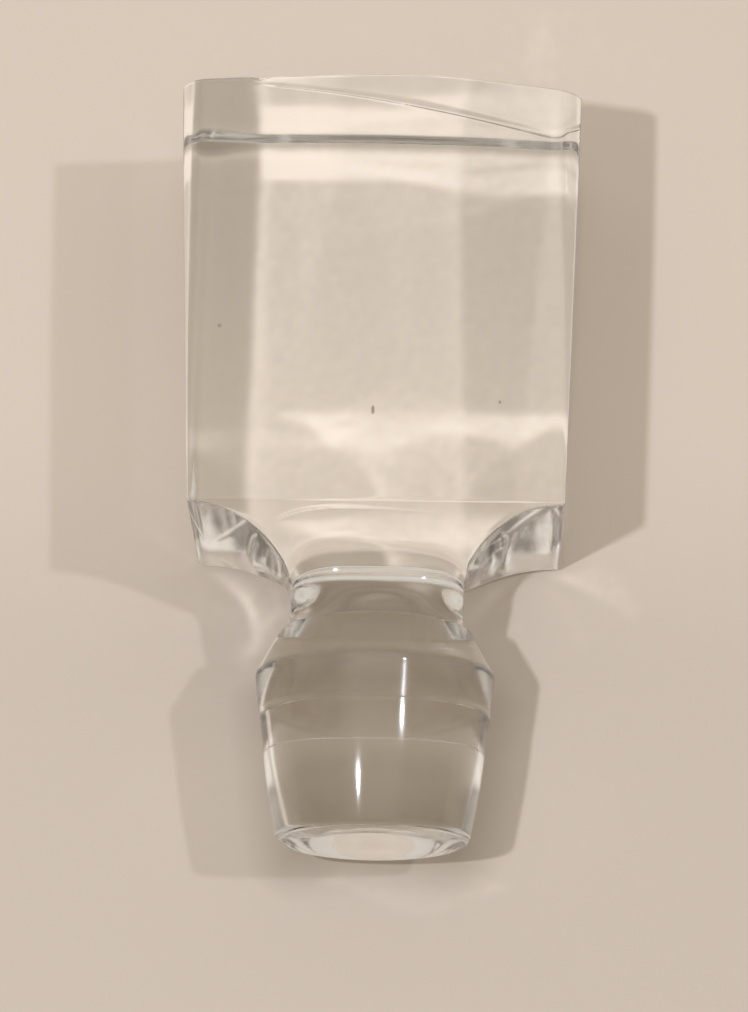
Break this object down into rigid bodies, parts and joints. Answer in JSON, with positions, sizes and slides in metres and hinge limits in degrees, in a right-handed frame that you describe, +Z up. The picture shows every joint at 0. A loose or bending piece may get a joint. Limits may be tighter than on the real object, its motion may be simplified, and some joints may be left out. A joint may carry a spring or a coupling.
{
  "type": "glass stopper",
  "caption": "Clear glass decanter stopper: a solid block head with coved sides running in to a squarish neck, a flared shoulder and a tapered ground plug.",
  "frame": {"origin": "centre of the resting stopper's box, on the table under the back face of its head", "axes": "+Y along the stopper from its plug to the top of its head, +X across the head's wide side, +Z up from the table"},
  "size_m": [0.0399, 0.0751, 0.0278],
  "materials": {
    "clear_glass": "polished"
  },
  "bodies": {
    "root": {"stopper": "clear_glass"}
  },
  "joints": []
}
